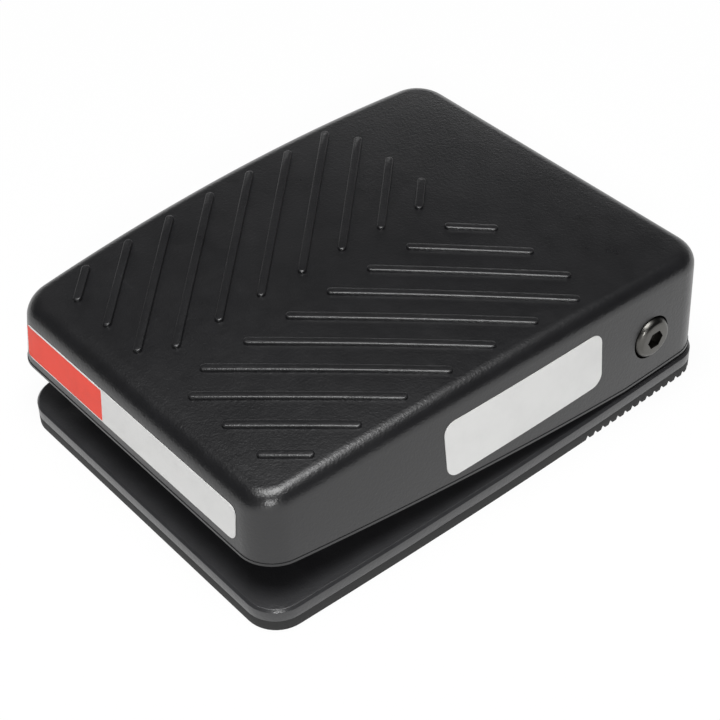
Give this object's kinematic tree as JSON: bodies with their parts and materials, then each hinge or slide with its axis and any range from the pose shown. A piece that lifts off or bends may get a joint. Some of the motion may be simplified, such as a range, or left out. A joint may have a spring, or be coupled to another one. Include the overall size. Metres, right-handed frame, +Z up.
{
  "type": "foot switch",
  "caption": "Low pedal foot switch: ribbed cast treadle hinged over a shallow cast base on a rubber sole, with a snap-action switch inside.",
  "frame": {"origin": "middle of the base's outline, on the floor under the rubber sole", "axes": "+X to the side with the long sticker, -Y to the toe end, +Y to the hinge and cable end, +Z up"},
  "size_m": [0.0882, 0.113, 0.0312],
  "materials": {
    "treadle_paint": "fine-textured satin black powder coat",
    "base_paint": "fine-textured satin black powder coat",
    "sole_rubber": "moulded black rubber",
    "stop_rubber": "moulded black rubber",
    "screw_steel": "dark-plated steel",
    "zinc_steel": "zinc-plated steel",
    "spring_steel": "bright spring wire",
    "nylon": "natural nylon",
    "case_plastic": "moulded phenolic",
    "plunger_plastic": "red moulded plastic",
    "arm_brass": "spring bronze",
    "terminal_brass": "plain brass",
    "contact_silver": "silver alloy",
    "bushing_plastic": "black nylon",
    "earth_paint": "green plated steel",
    "side_label": "blank white film",
    "front_label": "blank red and white film"
  },
  "bodies": {
    "base": {"base_casting": "base_paint", "rubber_sole": "sole_rubber", "pivot_screws": "screw_steel", "return_spring": "spring_steel", "down_stop_right": "stop_rubber", "down_stop_left": "stop_rubber", "rest_stop_right": "stop_rubber", "rest_stop_left": "stop_rubber", "switch_case": "case_plastic", "switch_cover": "case_plastic", "closed_contact": "contact_silver", "open_contact": "contact_silver", "closed_terminal": "terminal_brass", "open_terminal": "terminal_brass", "common_terminal": "terminal_brass", "switch_screws": "zinc_steel", "inlet_bushing": "bushing_plastic", "earth_screw": "earth_paint", "earth_washer": "zinc_steel"},
    "treadle": {"treadle_cover": "treadle_paint", "pivot_bushing_right": "nylon", "pivot_bushing_left": "nylon", "adjusting_screw": "zinc_steel", "lock_nut": "zinc_steel", "side_label": "side_label", "front_label": "front_label"},
    "plunger": {"switch_plunger": "plunger_plastic"},
    "arm": {"contact_arm": "arm_brass", "moving_contact": "contact_silver"}
  },
  "joints": [
    {"name": "treadle_hinge", "type": "hinge", "parent": "base", "child": "treadle", "pos_m": [0, 0.0396, 0.0159], "axis": [1, 0, 0], "range_deg": [0, 4], "stiffness_Nm_per_rad": 8, "springref_deg": -2.86, "deforming": ["return_spring"]},
    {"name": "plunger_slide", "type": "slide", "parent": "base", "child": "plunger", "axis": [0, 0, -1], "range_m": [0, 0.0018]},
    {"name": "arm_swing", "type": "hinge", "parent": "base", "child": "arm", "pos_m": [0, 0.0258, 0.0144], "axis": [1, 0, 0], "range_deg": [0, 9.2]}
  ],
  "couplings": [
    {"joint": "plunger_slide", "follows": "treadle_hinge", "m_per_rad": 0.025},
    {"joint": "arm_swing", "follows": "treadle_hinge", "ratio": 2.232}
  ]
}
